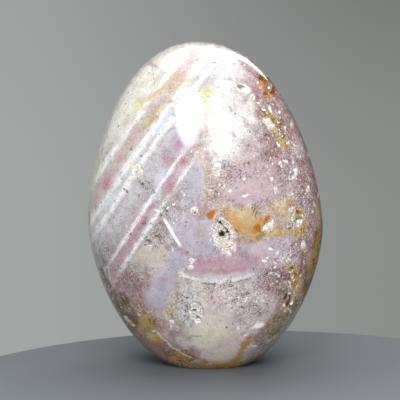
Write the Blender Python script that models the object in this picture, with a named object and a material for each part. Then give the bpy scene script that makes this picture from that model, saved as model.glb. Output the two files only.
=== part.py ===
"""Ocean jasper: a polished, egg-like stone that stands on a small flat foot.

Metres, +Z up. The face of the stone looks along -Y, with +X to its right. The origin is
the middle of the stone's box, on the surface that the foot stands on.

The body is one solid with open hollows in it. The quartz that lines each larger hollow is
a crust of its own, which sits in the hollow with a hair's gap round it.
"""

import math
import random
from typing import NamedTuple

import bmesh
import bpy
from mathutils import Matrix, Vector

# Body of the stone
HEIGHT = 0.110
WIDTH = 0.0804
DEPTH = 0.062
GIRTH_LEVEL = 0.048  # height of the widest girth
LOWER_REACH = 0.052  # the lower half would close this far below the girth: the foot cuts it off
UPPER_FALL, UPPER_ROUND = 1.63, 2.19  # how the girth shrinks towards the crown
LOWER_FALL, LOWER_ROUND = 1.66, 2.12  # and towards the foot
SECTION = 2.1  # a level cut is an ellipse pressed a little towards a rectangle
CROWN_LEAN = Vector((-0.0019, 0.0022, 0.0))  # the crown sits to the left of the girth, and back
FOOT_LEAN = Vector((0.0012, -0.0006, 0.0))
POLISH_WAVE = 0.003  # share of the girth by which hand polishing leaves the surface uneven
FOOT_EDGE = 0.0006  # worn round where the foot's flat meets the side

# Fineness of the meshes
RING_COUNT = 36
SEGMENT_COUNT = 58
BOWL_RINGS = 4
BOWL_SEGMENTS = 18
RIM_RING = 0.93  # one more ring here, close to the mouth, keeps the steep wall round
SHELL_RINGS = (0.25, 0.50)  # of a crust, inside its edge

# Hollows and their quartz
GAP = 0.0003  # between a crust and the stone around it
MOUTH_LIFT = 0.0015  # a cutter stands this far out of the skin, so that it cuts the mouth clean
MOUTH_FLARE = 1.10
BOWL_FALL, BOWL_ROUND = 2.4, 1.5  # a bowl has a broad floor and steep walls
BOWL_RAGGED = 0.10  # share by which an outline and a floor wander
CRUST_SINK = 0.0005  # the crust's edge lies this far under the polished skin
CRUST_THICK = 0.0009
CRUST_TOP = 0.72  # share of the way out at which the crust's top turns down to its edge
CRUST_TOP_REACH = 0.86  # the bowl that the top follows is this much smaller than the hollow
WALL_GAP = 1.6 * GAP  # along the skin: the walls stand steep, so the true gap is smaller
FLOOR_GAP = 1.3 * GAP  # straight in, and smaller again where the floor slopes
CRYSTAL_RADIUS = 0.00055
CRYSTAL_LENGTH = 0.0016
CRYSTAL_ROOT = 0.55 * CRUST_THICK  # how far a crystal reaches down into the crust
CRYSTAL_SHOULDER = 0.45  # share of its length at which the column turns into the point
CRYSTAL_TAPER = 0.92
CRYSTAL_SPREAD = 0.55  # crystals stand on the inner part of the bowl, away from its walls
CRYSTAL_TILT = 0.30  # radians off upright, at most
LENGTH_RANGE = (0.70, 1.25)  # of one crystal against the usual length
RADIUS_RANGE = (0.70, 1.20)

FOOT_LATITUDE = -math.asin(GIRTH_LEVEL / LOWER_REACH)
FRONT, BACK = -1, 1


class Hollow(NamedTuple):
    """An open hollow, placed as it is seen from the face it opens in. Angles in degrees."""

    name: str
    face: int
    across: float  # of its middle, along X
    level: float  # of its middle, above the foot
    half_width: float
    half_height: float
    deep: float
    lean: float = 0.0
    corners: float = 2.0  # 1 is a lozenge, 2 an ellipse
    crystals: int = 0  # in its crust: 0 for a bare hollow


HOLLOWS = (
    Hollow("heart", FRONT, 0.0058, 0.0492, 0.0036, 0.0066, 0.0046, 14, 1.35, 11),
    Hollow("right", FRONT, 0.0302, 0.0532, 0.0022, 0.0030, 0.0034, 0, 1.6, 6),
    Hollow("lower_right", FRONT, 0.0272, 0.0246, 0.0026, 0.0040, 0.0042, -14, 1.7, 8),
    Hollow("lower_middle", FRONT, -0.0030, 0.0226, 0.0024, 0.0040, 0.0038, 8, 1.8, 8),
    Hollow("back", BACK, -0.0085, 0.0640, 0.0052, 0.0034, 0.0042, 18, 1.6, 11),
    Hollow("crown_slit", FRONT, 0.0122, 0.0953, 0.0026, 0.0014, 0.0024, -22, 1.8),
    Hollow("shoulder", FRONT, 0.0208, 0.0953, 0.0014, 0.0017, 0.0020),
    Hollow("left", FRONT, -0.0222, 0.0689, 0.0020, 0.0022, 0.0014),
    Hollow("cream", FRONT, 0.0037, 0.0702, 0.0014, 0.0021, 0.0016),
    Hollow("ring", FRONT, -0.0036, 0.0570, 0.0012, 0.0012, 0.0016),
    Hollow("bright", FRONT, 0.0203, 0.0512, 0.0019, 0.0015, 0.0018, 25, 1.5),
    Hollow("back_foot", BACK, 0.0150, 0.0260, 0.0024, 0.0017, 0.0022, -12, 1.7),
)


def signed_power(value, power):
    return math.copysign(abs(value) ** power, value)


def girth_share(latitude):
    """Share of the full girth at a latitude: 1 at the girth and 0 at the crown."""
    fall, round_off = (UPPER_FALL, UPPER_ROUND) if latitude >= 0 else (LOWER_FALL, LOWER_ROUND)
    return max(0.0, 1 - abs(math.sin(latitude)) ** fall) ** (1 / round_off)


def level_of(latitude):
    reach = HEIGHT - GIRTH_LEVEL if latitude >= 0 else LOWER_REACH
    return GIRTH_LEVEL + reach * math.sin(latitude)


def latitude_of(level):
    reach = HEIGHT - GIRTH_LEVEL if level >= GIRTH_LEVEL else LOWER_REACH
    return math.asin((level - GIRTH_LEVEL) / reach)


def axis_at(level):
    """The middle of a level cut. The stone isn't quite upright."""
    if level >= GIRTH_LEVEL:
        return CROWN_LEAN * ((level - GIRTH_LEVEL) / (HEIGHT - GIRTH_LEVEL))
    return FOOT_LEAN * ((GIRTH_LEVEL - level) / GIRTH_LEVEL)


def polish(bearing, latitude):
    """The low waves that hand polishing leaves, as a factor on the girth."""
    broad = math.sin(2 * bearing - 0.9) * math.cos(2.1 * latitude - 0.4)
    tight = math.sin(3 * bearing - 1.9) * math.cos(4.3 * latitude + 0.8)
    return 1 + POLISH_WAVE * math.cos(latitude) * (broad + 0.6 * tight)


def skin(bearing, latitude):
    """A point of the polished skin. Bearing 0 is the middle of the face, and grows to the right."""
    level = level_of(latitude)
    girth = girth_share(latitude) * polish(bearing, latitude)
    side = signed_power(math.sin(bearing), 2 / SECTION) * WIDTH / 2
    front = signed_power(math.cos(bearing), 2 / SECTION) * DEPTH / 2
    return axis_at(level) + Vector((girth * side, -girth * front, level))


def skin_over(across, level, face):
    """The point of the skin that is seen at a place on the front or the back."""
    latitude = latitude_of(level)
    off_axis = (across - axis_at(level).x) / (girth_share(latitude) * WIDTH / 2)
    bearing = math.asin(signed_power(max(-1.0, min(1.0, off_axis)), SECTION / 2))
    return skin(bearing if face == FRONT else math.pi - bearing, latitude)


def outward_at(across, level, face):
    """The skin's outward direction at a place, from two short steps over it."""
    step = 0.0004
    sideways = skin_over(across + step, level, face) - skin_over(across - step, level, face)
    upward = skin_over(across, level + step, face) - skin_over(across, level - step, face)
    normal = sideways.cross(upward).normalized()
    return normal if normal.y * face > 0 else -normal


def outline_share(hollow, angle):
    """How far the mouth of a hollow reaches at an angle, as a share of its half sizes."""
    power = hollow.corners
    even = (abs(math.cos(angle)) ** power + abs(math.sin(angle)) ** power) ** (-1 / power)
    phase = len(hollow.name)
    wander = math.sin(3 * angle + phase) + 0.6 * math.sin(5 * angle + 2.3 * phase)
    return even * (1 + BOWL_RAGGED * wander / 2)


def bowl_share(share):
    """Depth of a bowl as a share of its deepest, at a share of the way out to its mouth."""
    return max(0.0, 1 - share**BOWL_FALL) ** (1 / BOWL_ROUND)


def place_in(hollow, share, angle, reach=1.0):
    """Where on the stone a place in the hollow's mouth lies, as across and level."""
    far = share * outline_share(hollow, angle) * reach
    sideways = far * hollow.half_width * math.cos(angle)
    upward = far * hollow.half_height * math.sin(angle)
    lean = math.radians(hollow.lean)
    across = hollow.across + sideways * math.cos(lean) + upward * math.sin(-lean)
    level = hollow.level - sideways * math.sin(-lean) + upward * math.cos(lean)
    return across, level


def under_skin(hollow, share, angle, sunk, reach=1.0):
    """A point at a depth under the skin, straight in from a place in the hollow's mouth."""
    across, level = place_in(hollow, share, angle, reach)
    inward = -outward_at(hollow.across, hollow.level, hollow.face)
    return skin_over(across, level, hollow.face) + inward * sunk


def layer(bm, hollow, shares, depth_at, reach=1.0):
    """Rings of vertices from the middle of a hollow outwards, the first a single vertex."""
    rings = [[bm.verts.new(under_skin(hollow, 0.0, 0.0, depth_at(0.0), reach))]]
    for share in shares:
        angles = [2 * math.pi * i / BOWL_SEGMENTS for i in range(BOWL_SEGMENTS)]
        sunk = depth_at(share)
        rings.append([bm.verts.new(under_skin(hollow, share, a, sunk, reach)) for a in angles])
    return rings


def skin_rings(bm, rings):
    """Faces between neighbouring rings of the same count, and a fan round a single vertex."""
    for inner, outer in zip(rings, rings[1:]):
        for i in range(len(outer)):
            j = (i + 1) % len(outer)
            if len(inner) == 1:
                bm.faces.new((inner[0], outer[i], outer[j]))
            else:
                bm.faces.new((inner[i], outer[i], outer[j], inner[j]))


def finish_mesh(name, bm, smooth_under=35):
    """A new object from a bmesh, with its faces turned outwards and its flat edges kept sharp."""
    bmesh.ops.recalc_face_normals(bm, faces=bm.faces)
    mesh = bpy.data.meshes.new(name)
    bm.to_mesh(mesh)
    bm.free()
    mesh.shade_smooth()
    mesh.set_sharp_from_angle(angle=math.radians(smooth_under))
    obj = bpy.data.objects.new(name, mesh)
    bpy.context.scene.collection.objects.link(obj)
    return obj


def as_helper(obj):
    """Keeps a cutter or a joined-in piece out of the model itself."""
    obj.hide_render = True
    obj.display_type = "WIRE"
    return obj


def boolean(obj, helper, operation):
    change = obj.modifiers.new(helper.name, "BOOLEAN")
    change.operation = operation
    change.solver = "EXACT"
    change.object = helper
    return change


def finish_of(name, colour, roughness, coat=0.0):
    material = bpy.data.materials.new(name)
    material.use_nodes = True
    shader = material.node_tree.nodes["Principled BSDF"]
    shader.inputs["Base Color"].default_value = (*colour, 1.0)
    shader.inputs["Roughness"].default_value = roughness
    shader.inputs["Metallic"].default_value = 0.0
    shader.inputs["Coat Weight"].default_value = coat
    return material


def make_body():
    """The polished body, from the foot's flat up to the crown."""
    bm = bmesh.new()
    rings = []
    for i in range(RING_COUNT):
        latitude = FOOT_LATITUDE + (math.pi / 2 - FOOT_LATITUDE) * i / RING_COUNT
        bearings = [2 * math.pi * k / SEGMENT_COUNT for k in range(SEGMENT_COUNT)]
        rings.append([bm.verts.new(skin(b, latitude)) for b in bearings])
    crown = [bm.verts.new(skin(0.0, math.pi / 2))]
    skin_rings(bm, [crown] + rings[::-1])
    foot = bm.faces.new(rings[0])
    bmesh.ops.bevel(
        bm, geom=list(foot.edges), offset=FOOT_EDGE, segments=2, profile=0.5, affect="EDGES"
    )
    return finish_mesh("stone", bm)


def make_cutter(hollow):
    """The closed form that a hollow takes out of the body: a ragged bowl under a flared mouth."""
    bm = bmesh.new()
    shares = [i / BOWL_RINGS for i in range(1, BOWL_RINGS)] + [RIM_RING, 1.0]
    floor = layer(bm, hollow, shares, lambda share: hollow.deep * bowl_share(share))
    mouth = layer(bm, hollow, [MOUTH_FLARE], lambda share: -MOUTH_LIFT)
    skin_rings(bm, floor)
    skin_rings(bm, [floor[-1], mouth[-1]])
    skin_rings(bm, mouth)
    return as_helper(finish_mesh("cut_" + hollow.name, bm))


def crust_scale(hollow):
    """The reach that leaves the gap between a crust's edge and the wall of its hollow."""
    return 1 - WALL_GAP / min(hollow.half_width, hollow.half_height)


def crust_underside(hollow, share):
    """How far under the skin the crust's lower surface lies, a gap clear of the bowl's floor."""
    return CRUST_SINK + (hollow.deep - FLOOR_GAP - CRUST_SINK) * bowl_share(share)


def make_crust_shell(hollow):
    """The layer of quartz on the floor and walls of a hollow, without its crystals."""
    bm = bmesh.new()
    reach = crust_scale(hollow)
    top_deep = hollow.deep - FLOOR_GAP - CRUST_SINK - CRUST_THICK
    lower_rings = [*SHELL_RINGS, 0.75, RIM_RING, 1.0]
    upper_rings = [*SHELL_RINGS, CRUST_TOP]
    lower = layer(bm, hollow, lower_rings, lambda share: crust_underside(hollow, share), reach)
    upper = layer(
        bm, hollow, upper_rings,
        lambda share: CRUST_SINK + top_deep * bowl_share(share / CRUST_TOP_REACH), reach,
    )
    skin_rings(bm, lower)
    skin_rings(bm, [upper[-1], lower[-1]])
    skin_rings(bm, upper)
    return finish_mesh("crust_" + hollow.name, bm, smooth_under=20)


def add_crystal(bm, root, axis, radius, length, turn):
    """A six-sided quartz column with a point, standing on a root point along an axis."""
    stand = axis.to_track_quat("Z", "Y").to_matrix().to_4x4()
    place = Matrix.Translation(root) @ stand @ Matrix.Rotation(turn, 4, "Z")
    corners = [(radius * math.cos(a), radius * math.sin(a)) for a in
               (math.pi * k / 3 for k in range(6))]
    base = [bm.verts.new(place @ Vector((x, y, 0.0))) for x, y in corners]
    narrowed = [(x * CRYSTAL_TAPER, y * CRYSTAL_TAPER) for x, y in corners]
    shoulder_at = length * CRYSTAL_SHOULDER
    shoulder = [bm.verts.new(place @ Vector((x, y, shoulder_at))) for x, y in narrowed]
    tip = bm.verts.new(place @ Vector((0.0, 0.0, length)))
    bm.faces.new(base[::-1])
    skin_rings(bm, [[tip], shoulder, base])


def make_crystals(hollow):
    """The points that stand on a crust. They lean at random, and stay under the skin."""
    bm = bmesh.new()
    chance = random.Random(hollow.name)
    outward = outward_at(hollow.across, hollow.level, hollow.face)
    reach = crust_scale(hollow)
    golden = math.pi * (3 - math.sqrt(5))
    for i in range(hollow.crystals):
        share = CRYSTAL_SPREAD * math.sqrt((i + 0.5) / hollow.crystals)
        angle = golden * i
        sunk = (hollow.deep - FLOOR_GAP) * bowl_share(share) - CRYSTAL_ROOT
        root = under_skin(hollow, share, angle, sunk, reach)
        lean = Vector([chance.uniform(-1, 1) for _ in range(3)]) * CRYSTAL_TILT
        axis = (outward + lean - outward * lean.dot(outward)).normalized()
        length = min(CRYSTAL_LENGTH * chance.uniform(*LENGTH_RANGE), sunk - CRUST_SINK)
        radius = CRYSTAL_RADIUS * chance.uniform(*RADIUS_RANGE)
        add_crystal(bm, root, axis, radius, length, chance.uniform(0, math.pi / 3))
    return as_helper(finish_mesh("points_" + hollow.name, bm, smooth_under=20))


def make_crust(hollow):
    crust = make_crust_shell(hollow)
    join = boolean(crust, make_crystals(hollow), "UNION")
    join.use_self = True
    return crust


for old in list(bpy.data.objects):
    bpy.data.objects.remove(old, do_unlink=True)

jasper = finish_of("polished jasper", (0.60, 0.50, 0.50), 0.22, coat=0.6)
quartz = finish_of("vug quartz", (0.82, 0.78, 0.72), 0.35)

stone = make_body()
stone.data.materials.append(jasper)
for hollow in HOLLOWS:
    boolean(stone, make_cutter(hollow), "DIFFERENCE")
    if hollow.crystals:
        crust = make_crust(hollow)
        crust.data.materials.append(quartz)
        crust.parent = stone
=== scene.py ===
"""Ocean jasper, a polished egg-like stone on a small flat foot, with its bands, patches and hollows.

Metres, +Z up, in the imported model's frame. The stone's face looks along -Y, with +X to its right.
Places on the face are given as across, along X, and level, above the foot.
"""

import math
import random

import bmesh
import bpy
import numpy as np
from mathutils import Matrix, Quaternion, Vector


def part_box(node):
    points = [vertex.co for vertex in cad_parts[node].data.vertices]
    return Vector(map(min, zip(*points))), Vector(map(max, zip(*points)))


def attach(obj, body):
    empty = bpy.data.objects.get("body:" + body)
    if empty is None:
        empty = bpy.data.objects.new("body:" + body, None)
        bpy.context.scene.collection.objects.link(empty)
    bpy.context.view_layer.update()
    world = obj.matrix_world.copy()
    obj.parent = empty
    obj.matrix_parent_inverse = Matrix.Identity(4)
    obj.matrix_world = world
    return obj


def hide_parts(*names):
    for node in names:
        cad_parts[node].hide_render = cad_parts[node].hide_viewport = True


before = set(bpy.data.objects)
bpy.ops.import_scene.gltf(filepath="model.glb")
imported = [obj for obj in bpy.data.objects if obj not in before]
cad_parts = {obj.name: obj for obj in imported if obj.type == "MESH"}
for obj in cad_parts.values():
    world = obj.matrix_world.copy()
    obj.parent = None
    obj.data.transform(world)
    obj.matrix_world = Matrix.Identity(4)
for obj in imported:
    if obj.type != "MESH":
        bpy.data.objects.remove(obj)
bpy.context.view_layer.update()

# The stone
# One piece of jasper, ground to an egg-like form and polished by hand on a small flat foot.
# Its hollows were open in the rough and stay unpolished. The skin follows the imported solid
# with a mesh fine enough for the small pits, and all that is only colour stays in the material.
foot_corner, crown_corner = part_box("stone")
HEIGHT = crown_corner.z - foot_corner.z
WIDTH = 0.0804
DEPTH = 0.062
# the egg is widest at its girth, and its lower end would reach past the foot that was cut on it
GIRTH_LEVEL = 0.048
LOWER_REACH = 0.052
UPPER_FALL, UPPER_ROUND = 1.63, 2.19
LOWER_FALL, LOWER_ROUND = 1.66, 2.12
SECTION = 2.1
CROWN_LEAN = np.array([-0.0019, 0.0022])
FOOT_LEAN = np.array([0.0012, -0.0006])
POLISH_WAVE = 0.003
# the two ends of the skin where its rings stay as they are drawn
FOOT_CAP, CROWN_CAP = 0.0012, 0.0005
RINGS, SEGMENTS = 190, 300
# the mesh is made finer twice round each hollow, out to these shares of the way to its edge
FINER_OUT_TO = (1.6, 1.35)
HALVINGS = 32
FACE, BACK = -1, 1


def signed_power(value, power):
    return np.copysign(np.abs(value) ** power, value)


def axis_at(level):
    """Where the stone's middle lies at each level, as it leans a little at both ends."""
    up_share = np.clip((level - GIRTH_LEVEL) / (HEIGHT - GIRTH_LEVEL), 0, 1)
    down_share = np.clip((GIRTH_LEVEL - level) / GIRTH_LEVEL, 0, 1)
    return [CROWN_LEAN[i] * up_share + FOOT_LEAN[i] * down_share for i in (0, 1)]


def skin_at(bearing, level):
    """Points of the polished skin. Bearing 0 is the middle of the face, and grows to the right."""
    reach = np.where(level >= GIRTH_LEVEL, HEIGHT - GIRTH_LEVEL, LOWER_REACH)
    share = np.clip((level - GIRTH_LEVEL) / reach, -1, 1)
    fall = np.where(share >= 0, UPPER_FALL, LOWER_FALL)
    round_off = np.where(share >= 0, UPPER_ROUND, LOWER_ROUND)
    latitude = np.arcsin(share)
    # grinding by hand leaves a broad wave and a tighter one
    broad = np.sin(2 * bearing - 0.9) * np.cos(2.1 * latitude - 0.4)
    tight = np.sin(3 * bearing - 1.9) * np.cos(4.3 * latitude + 0.8)
    polish = 1 + POLISH_WAVE * np.cos(latitude) * (broad + 0.6 * tight)
    girth = (1 - np.abs(share) ** fall) ** (1 / round_off) * polish
    axis_x, axis_y = axis_at(level)
    side = signed_power(np.sin(bearing), 2 / SECTION) * WIDTH / 2
    front = signed_power(np.cos(bearing), 2 / SECTION) * DEPTH / 2
    return np.stack([axis_x + girth * side, axis_y - girth * front, level + 0 * side], axis=-1)


def bearing_of(points):
    """The bearing of points near the skin."""
    axis_x, axis_y = axis_at(points[:, 2])
    off_x, off_y = points[:, 0] - axis_x, points[:, 1] - axis_y
    return np.arctan2(
        signed_power(off_x / WIDTH, SECTION / 2), signed_power(-off_y / DEPTH, SECTION / 2)
    )


def skin_over(across, level, face=FACE):
    """The points of the skin that are seen at places on the face or the back."""
    across, level = np.broadcast_arrays(np.asarray(across, float), np.asarray(level, float))
    low, high = np.full(across.shape, -math.pi / 2), np.full(across.shape, math.pi / 2)
    for _ in range(HALVINGS):
        middle = (low + high) / 2
        bearing = middle if face == FACE else math.pi - middle
        falls_short = skin_at(bearing, level)[..., 0] < across
        low = np.where(falls_short, middle, low)
        high = np.where(falls_short, high, middle)
    return skin_at(bearing, level)


def outward_at(across, level, face=FACE):
    """The skin's outward direction at a place."""
    step = 0.0004
    ends = skin_over(
        [across + step, across - step, across, across], [level, level, level + step, level - step], face
    )
    normal = np.cross(ends[0] - ends[1], ends[2] - ends[3])
    return normal / np.linalg.norm(normal) * np.sign(normal[1] * face)


class Hollow:
    """An open hollow or a small pit, placed as it is seen from its face. Angles in degrees."""

    ragged = 0.10
    fall, round_off = 2.4, 1.5

    def __init__(self, across, level, half_width, half_height, deep, phase, lean=0, corners=2.0,
                 face=FACE):
        self.across, self.level = across, level
        self.half_width, self.half_height = half_width, half_height
        self.deep, self.lean, self.corners = deep, math.radians(lean), corners
        self.phase, self.face = phase, face
        self.inward = -outward_at(across, level, face)

    def outline(self, angle):
        power = self.corners
        # the edge wanders by four waves on an even outline
        even = (np.abs(np.cos(angle)) ** power + np.abs(np.sin(angle)) ** power) ** (-1 / power)
        wander = np.sin(3 * angle + self.phase) + 0.6 * np.sin(5 * angle + 2.3 * self.phase)
        wander += 0.9 * np.sin(9 * angle + 3.1 * self.phase) + 0.7 * np.sin(16 * angle + self.phase)
        return even * (1 + self.ragged * wander / 2)

    def share_at(self, points):
        """How far out from the hollow's middle points lie: 0 in the middle, 1 on its edge."""
        off_x = points[:, 0] - self.across
        off_z = points[:, 2] - self.level
        sideways = off_x * math.cos(self.lean) + off_z * math.sin(self.lean)
        upward = off_z * math.cos(self.lean) - off_x * math.sin(self.lean)
        wide, high = sideways / self.half_width, upward / self.half_height
        share = np.hypot(wide, high) / self.outline(np.arctan2(high, wide))
        return np.where(points[:, 1] * self.face > 0, share, np.inf)

    def bowl(self, share):
        """Depth as a share of the deepest, at a share of the way out to the edge."""
        return np.clip(1 - np.clip(share, 0, 1) ** self.fall, 0, 1) ** (1 / self.round_off)

    def floor_points(self, share, angle):
        """Points on the hollow's floor or wall."""
        far = share * self.outline(angle)
        sideways = far * self.half_width * np.cos(angle)
        upward = far * self.half_height * np.sin(angle)
        across = self.across + sideways * math.cos(self.lean) - upward * math.sin(self.lean)
        level = self.level + sideways * math.sin(self.lean) + upward * math.cos(self.lean)
        sunk = self.deep * self.bowl(share)
        return skin_over(across, level, self.face) + np.multiply.outer(sunk, self.inward)


lined_hollows = {
    "heart": Hollow(0.0058, 0.0492, 0.0036, 0.0066, 0.0046, 5, 14, 1.35),
    "right": Hollow(0.0302, 0.0532, 0.0022, 0.0030, 0.0034, 5, 0, 1.6),
    "lower_right": Hollow(0.0272, 0.0246, 0.0026, 0.0040, 0.0042, 11, -14, 1.7),
    "lower_middle": Hollow(-0.0030, 0.0226, 0.0024, 0.0040, 0.0038, 12, 8, 1.8),
    "back": Hollow(-0.0085, 0.0640, 0.0052, 0.0034, 0.0042, 4, 18, 1.6, face=BACK),
}
bare_hollows = [
    Hollow(0.0122, 0.0953, 0.0026, 0.0014, 0.0024, 10, -22, 1.8),
    Hollow(0.0208, 0.0953, 0.0014, 0.0017, 0.0020, 8),
    Hollow(-0.0222, 0.0689, 0.0020, 0.0022, 0.0014, 4),
    Hollow(0.0037, 0.0702, 0.0014, 0.0021, 0.0016, 5),
    Hollow(-0.0036, 0.0570, 0.0012, 0.0012, 0.0016, 4),
    Hollow(0.0203, 0.0512, 0.0019, 0.0015, 0.0018, 6, 25, 1.5),
    Hollow(0.0150, 0.0260, 0.0024, 0.0017, 0.0022, 9, -12, 1.7, face=BACK),
]
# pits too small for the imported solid: round ones with a white ring, and chips on the lower edge
small_pits = [
    Hollow(0.0154, 0.0922, 0.0009, 0.0010, 0.0008, 2),
    Hollow(0.0271, 0.0411, 0.0008, 0.0010, 0.0007, 7),
    Hollow(0.0272, 0.0393, 0.0008, 0.0007, 0.0006, 3),
    Hollow(-0.0046, 0.0409, 0.0006, 0.0006, 0.0005, 1),
    Hollow(-0.0048, 0.0384, 0.0007, 0.0006, 0.0005, 6),
    Hollow(0.0323, 0.0437, 0.0009, 0.0016, 0.0008, 9),
    Hollow(0.0208, 0.0836, 0.0018, 0.0008, 0.0007, 2, -38),
    Hollow(0.0176, 0.0169, 0.0020, 0.0011, 0.0006, 8, 12, 1.7),
    Hollow(-0.0183, 0.0447, 0.0009, 0.0007, 0.0005, 5),
    Hollow(-0.0111, 0.0188, 0.0010, 0.0008, 0.0005, 12),
    Hollow(-0.0102, 0.0278, 0.0005, 0.0008, 0.0005, 3),
    Hollow(0.0222, 0.0353, 0.0013, 0.0005, 0.0005, 6, -15),
    Hollow(0.0298, 0.0676, 0.0006, 0.0016, 0.0006, 7, -12),
    Hollow(0.0341, 0.0617, 0.0006, 0.0011, 0.0006, 4, -14),
    Hollow(0.0228, 0.0626, 0.0004, 0.0009, 0.0005, 2),
    Hollow(0.0283, 0.0560, 0.0010, 0.0009, 0.0007, 9),
    Hollow(-0.0256, 0.0166, 0.0013, 0.0008, 0.0006, 3, -40),
    Hollow(-0.0060, 0.0830, 0.0009, 0.0013, 0.0008, 6, 20, face=BACK),
    Hollow(0.0190, 0.0580, 0.0012, 0.0009, 0.0008, 2, -10, face=BACK),
    Hollow(-0.0240, 0.0350, 0.0010, 0.0015, 0.0008, 8, 15, face=BACK),
    Hollow(0.0040, 0.0400, 0.0009, 0.0009, 0.0007, 5, face=BACK),
    Hollow(0.0120, 0.0900, 0.0014, 0.0008, 0.0008, 4, -30, face=BACK),
]
hollows = [*lined_hollows.values(), *bare_hollows, *small_pits]


def hollow_reach(points):
    """The least share at which any hollow has each point."""
    return np.min([hollow.share_at(points) for hollow in hollows], axis=0)


def finish_mesh(name, bm, material=None):
    mesh = bpy.data.meshes.new(name)
    bm.to_mesh(mesh)
    bm.free()
    mesh.shade_smooth()
    piece = bpy.data.objects.new(name, mesh)
    bpy.context.scene.collection.objects.link(piece)
    if material:
        mesh.materials.append(material)
    return piece


def make_skin():
    """The stone's surface, finest round the hollows, and sunk where they open."""
    bm = bmesh.new()
    foot_latitude = -math.asin(GIRTH_LEVEL / LOWER_REACH)
    latitudes = foot_latitude + (math.pi / 2 - foot_latitude) * np.arange(RINGS) / RINGS
    # the mesh's seam lies on the left side, away from every hollow
    bearings = -math.pi / 2 + 2 * math.pi * np.arange(SEGMENTS) / SEGMENTS
    rings = []
    for latitude in latitudes:
        sine = math.sin(latitude)
        level = GIRTH_LEVEL + sine * (HEIGHT - GIRTH_LEVEL if sine >= 0 else LOWER_REACH)
        ring = skin_at(bearings, np.full(SEGMENTS, max(level, 0.0)))
        rings.append([bm.verts.new(point) for point in ring])
    crown = bm.verts.new((CROWN_LEAN[0], CROWN_LEAN[1], HEIGHT))
    for lower, upper in zip(rings, rings[1:]):
        for i in range(SEGMENTS):
            j = (i + 1) % SEGMENTS
            bm.faces.new((lower[i], lower[j], upper[j], upper[i]))
    for i in range(SEGMENTS):
        bm.faces.new((rings[-1][i], rings[-1][(i + 1) % SEGMENTS], crown))
    foot = bm.faces.new(rings[0][::-1])
    # the foot was cut flat, and meets the side in a crisp edge
    for edge in foot.edges:
        edge.smooth = False
    for spread in FINER_OUT_TO:
        middles = np.array([face.calc_center_median() for face in bm.faces])
        close = hollow_reach(middles) < spread
        # each edge once, in the order of the faces
        edges = dict.fromkeys(e for face, near in zip(bm.faces, close) if near for e in face.edges)
        bmesh.ops.subdivide_edges(bm, edges=list(edges), cuts=1, use_grid_fill=True)
    bmesh.ops.recalc_face_normals(bm, faces=bm.faces)
    piece = finish_mesh("stone_skin", bm)
    points = np.empty(len(piece.data.vertices) * 3)
    piece.data.vertices.foreach_get("co", points)
    points = points.reshape(-1, 3)
    side = (points[:, 2] > FOOT_CAP) & (points[:, 2] < HEIGHT - CROWN_CAP)
    points[side] = skin_at(bearing_of(points[side]), points[side, 2])
    moved = points.copy()
    reach, depth = np.full(len(points), 3.0), np.zeros(len(points))
    for hollow in hollows:
        share = hollow.share_at(points)
        sunk = hollow.bowl(share) * hollow.deep
        moved += np.outer(sunk, hollow.inward)
        reach, depth = np.minimum(reach, share), np.maximum(depth, sunk * 1000)
    piece.data.vertices.foreach_set("co", moved.ravel())
    # 0 in the middle of a hollow, 1 on its edge and more on the skin around it, and its depth in mm
    for name, values in (("hollow_reach", reach), ("hollow_depth", depth)):
        piece.data.attributes.new(name, "FLOAT", "POINT").data.foreach_set("value", values)
    piece.data.update()
    return piece


class Flow:
    """A socket of a material's nodes. Sums on values add the Math nodes for them."""

    def __init__(self, tree, socket=None):
        self.tree, self.socket = tree, socket

    def node(self, kind, settings=None, sockets=None, output=0):
        """Add a node, with its settings first and then its sockets, and give one output."""
        added = self.tree.nodes.new(kind)
        settings = dict(settings or {})
        stops = settings.pop("stops", [])
        for name, setting in settings.items():
            setattr(added, name, setting)
        for index, (position, colour) in enumerate(stops):
            elements = added.color_ramp.elements
            stop = elements[index] if index < 2 else elements.new(position)
            stop.position, stop.color = position, (*colour, 1)
        for name, value in (sockets or {}).items():
            if isinstance(value, Flow):
                self.tree.links.new(value.socket, added.inputs[name])
            else:
                added.inputs[name].default_value = value
        return Flow(self.tree, None if output is None else added.outputs[output])

    def math(self, operation, *values):
        return self.node("ShaderNodeMath", {"operation": operation}, dict(enumerate(values)))

    def __add__(self, other):
        return self.math("ADD", self, other)

    __radd__ = __add__

    def __sub__(self, other):
        return self.math("SUBTRACT", self, other)

    def __rsub__(self, other):
        return self.math("SUBTRACT", other, self)

    def __mul__(self, other):
        return self.math("MULTIPLY", self, other)

    __rmul__ = __mul__

    def __abs__(self):
        return self.math("ABSOLUTE", self)

    def most(self, other):
        return self.math("MAXIMUM", self, other)

    def rise(self, start, end, to=1.0):
        """0 up to start and the full amount from end on, or the other way round."""
        sockets = {0: self, 1: start, 2: end, 3: 0.0, 4: to}
        return self.node("ShaderNodeMapRange", {"interpolation_type": "SMOOTHSTEP"}, sockets)

    def vector(self, operation, other=None, scale=None):
        """A Vector Math node on a vector or a colour."""
        sockets = {0: self}
        if other is not None:
            sockets[1] = other
        if scale is not None:
            sockets[3] = scale
        output = 1 if operation == "DOT_PRODUCT" else 0
        return self.node("ShaderNodeVectorMath", {"operation": operation}, sockets, output)

    def mix(self, colour, share, blend="MIX"):
        """This colour with another one laid over it by a share."""
        if isinstance(colour, tuple):
            colour = (*colour, 1)
        settings = {"data_type": "RGBA", "blend_type": blend}
        return self.node("ShaderNodeMix", settings, {0: share, 6: self, 7: colour}, 2)

    def noise(self, scale, detail=2.0, rough=0.5, output=0):
        """Cloudy noise at a place, with features of about 1/scale."""
        sockets = {"Vector": self, "Scale": scale, "Detail": detail, "Roughness": rough}
        return self.node("ShaderNodeTexNoise", None, sockets, output)


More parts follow.
